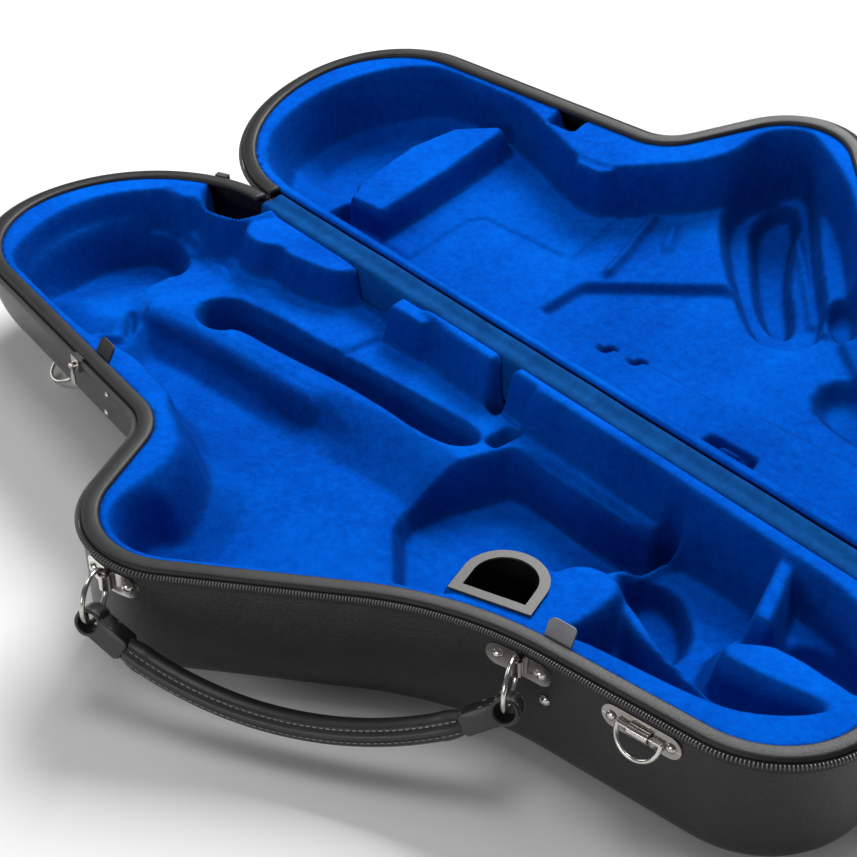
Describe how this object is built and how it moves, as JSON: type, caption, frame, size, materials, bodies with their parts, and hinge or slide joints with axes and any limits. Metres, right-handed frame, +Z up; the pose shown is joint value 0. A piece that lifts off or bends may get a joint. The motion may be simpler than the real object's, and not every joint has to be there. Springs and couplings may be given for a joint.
{
  "type": "contoured saxophone case",
  "caption": "Open contoured hard case for a saxophone: two hinged trays with blue plush foam inserts, zipper rim, carrying handle and strap rings.",
  "frame": {"origin": "on the flat outer bottom of the base tray, below the long axis of the case, 154 mm in front of the hinge line", "axes": "+X along the hinge from the bow end to the neck end; +Y from the handle side to the hinge and over the opened lid; +Z up out of the base tray"},
  "size_m": [0.896, 0.7823, 0.1801],
  "materials": {
    "shell_vinyl": "pebbled black leatherette",
    "plush_lining": "royal blue plush",
    "gusset_cloth": "dull blue cloth",
    "rim_edging": "dark grey rolled edging",
    "zipper_tape": "black woven tape",
    "zipper_teeth": "dark coil teeth",
    "cup_moulding": "grey moulded plastic",
    "tab_plastic": "grey fibre board",
    "nickel": "polished nickel plate",
    "handle_leather": "smooth black leatherette, light stitching",
    "handle_core": "moulded core"
  },
  "bodies": {
    "base": {"base_shell": "shell_vinyl", "base_foam_insert": "plush_lining", "base_rim_lip": "rim_edging", "base_zip_tape": "zipper_tape", "base_zip_teeth": "zipper_teeth", "mouthpiece_cup": "cup_moulding", "bow_locating_tab": "tab_plastic", "neck_locating_tab": "tab_plastic", "handle_plate_bell_side": "nickel", "handle_plate_neck_side": "nickel", "handle_plate_rivets": "nickel", "wall_rivet": "nickel", "waist_eyelets": "nickel", "bow_strap_plate": "nickel", "neck_strap_plate": "nickel", "strap_plate_rivets": "nickel", "hinge_gusset": "gusset_cloth", "hinge_outer_strip": "shell_vinyl"},
    "lid": {"lid_shell": "shell_vinyl", "lid_foam_insert": "plush_lining", "lid_rim_lip": "rim_edging", "lid_zip_tape": "zipper_tape", "lid_zip_teeth": "zipper_teeth", "lid_strap_plate": "nickel", "lid_strap_rivets": "nickel"},
    "handle": {"handle_grip": "handle_leather", "handle_core": "handle_core", "handle_loop_bell_side": "handle_leather", "handle_loop_neck_side": "handle_leather"},
    "handle_ring_bell_side": {"handle_ring_bell_side": "nickel"},
    "handle_ring_neck_side": {"handle_ring_neck_side": "nickel"},
    "bow_strap_ring": {"bow_strap_ring": "nickel"},
    "neck_strap_ring": {"neck_strap_ring": "nickel"},
    "lid_strap_ring": {"lid_strap_ring": "nickel"},
    "bow_zip_slider": {"bow_zip_slider": "nickel"},
    "bow_zip_pull": {"bow_zip_pull": "nickel"},
    "front_zip_slider": {"front_zip_slider": "nickel"},
    "front_zip_pull": {"front_zip_pull": "nickel"}
  },
  "joints": [
    {"name": "lid_hinge", "type": "hinge", "parent": "base", "child": "lid", "pos_m": [0, 0.154, 0.104], "axis": [1, 0, 0], "range_deg": [0, 168], "deforming": ["hinge_gusset", "hinge_outer_strip"]},
    {"name": "handle_swing", "type": "hinge", "parent": "base", "child": "handle", "pos_m": [0.02968, -0.23062, 0.084], "axis": [-0.8351, -0.55, 0], "range_deg": [-20, 140]},
    {"name": "bell_ring_swivel", "type": "hinge", "parent": "base", "child": "handle_ring_bell_side", "pos_m": [0.02063, -0.21688, 0.084], "axis": [0, 0, 1], "range_deg": [-5, 5]},
    {"name": "neck_ring_swivel", "type": "hinge", "parent": "base", "child": "handle_ring_neck_side", "pos_m": [0.25087, -0.06524, 0.084], "axis": [0, 0, 1], "range_deg": [-5, 5]},
    {"name": "bow_strap_ring_swing", "type": "hinge", "parent": "base", "child": "bow_strap_ring", "pos_m": [-0.31908, -0.05789, 0.01118], "axis": [-0.9971, 0.0767, 0], "range_deg": [0, 50]},
    {"name": "neck_strap_ring_swing", "type": "hinge", "parent": "base", "child": "neck_strap_ring", "pos_m": [0.33864, -0.04892, 0.084], "axis": [-0.9842, -0.1773, 0], "range_deg": [-16, 125]},
    {"name": "lid_strap_ring_swing", "type": "hinge", "parent": "lid", "child": "lid_strap_ring", "pos_m": [0.00068, 0.52385, 0.15194], "axis": [0.9959, 0.0884, 0.0188], "range_deg": [-16, 125]},
    {"name": "bow_slider_travel", "type": "hinge", "parent": "base", "child": "bow_zip_slider", "pos_m": [-0.315, 0.0185, 0], "axis": [0, 0, 1], "range_deg": [0, 60]},
    {"name": "front_slider_travel", "type": "slide", "parent": "base", "child": "front_zip_slider", "axis": [0.9971, -0.0767, 0], "range_m": [-0.14, 0.066]},
    {"name": "bow_pull_swing", "type": "hinge", "parent": "bow_zip_slider", "child": "bow_zip_pull", "pos_m": [-0.3756, 0.14847, 0.096], "axis": [0.9063, 0.4226, 0], "range_deg": [0, 90]},
    {"name": "front_pull_swing", "type": "hinge", "parent": "front_zip_slider", "child": "front_zip_pull", "pos_m": [-0.19664, -0.11395, 0.096], "axis": [-0.9971, 0.0767, 0], "range_deg": [0, 150]}
  ]
}
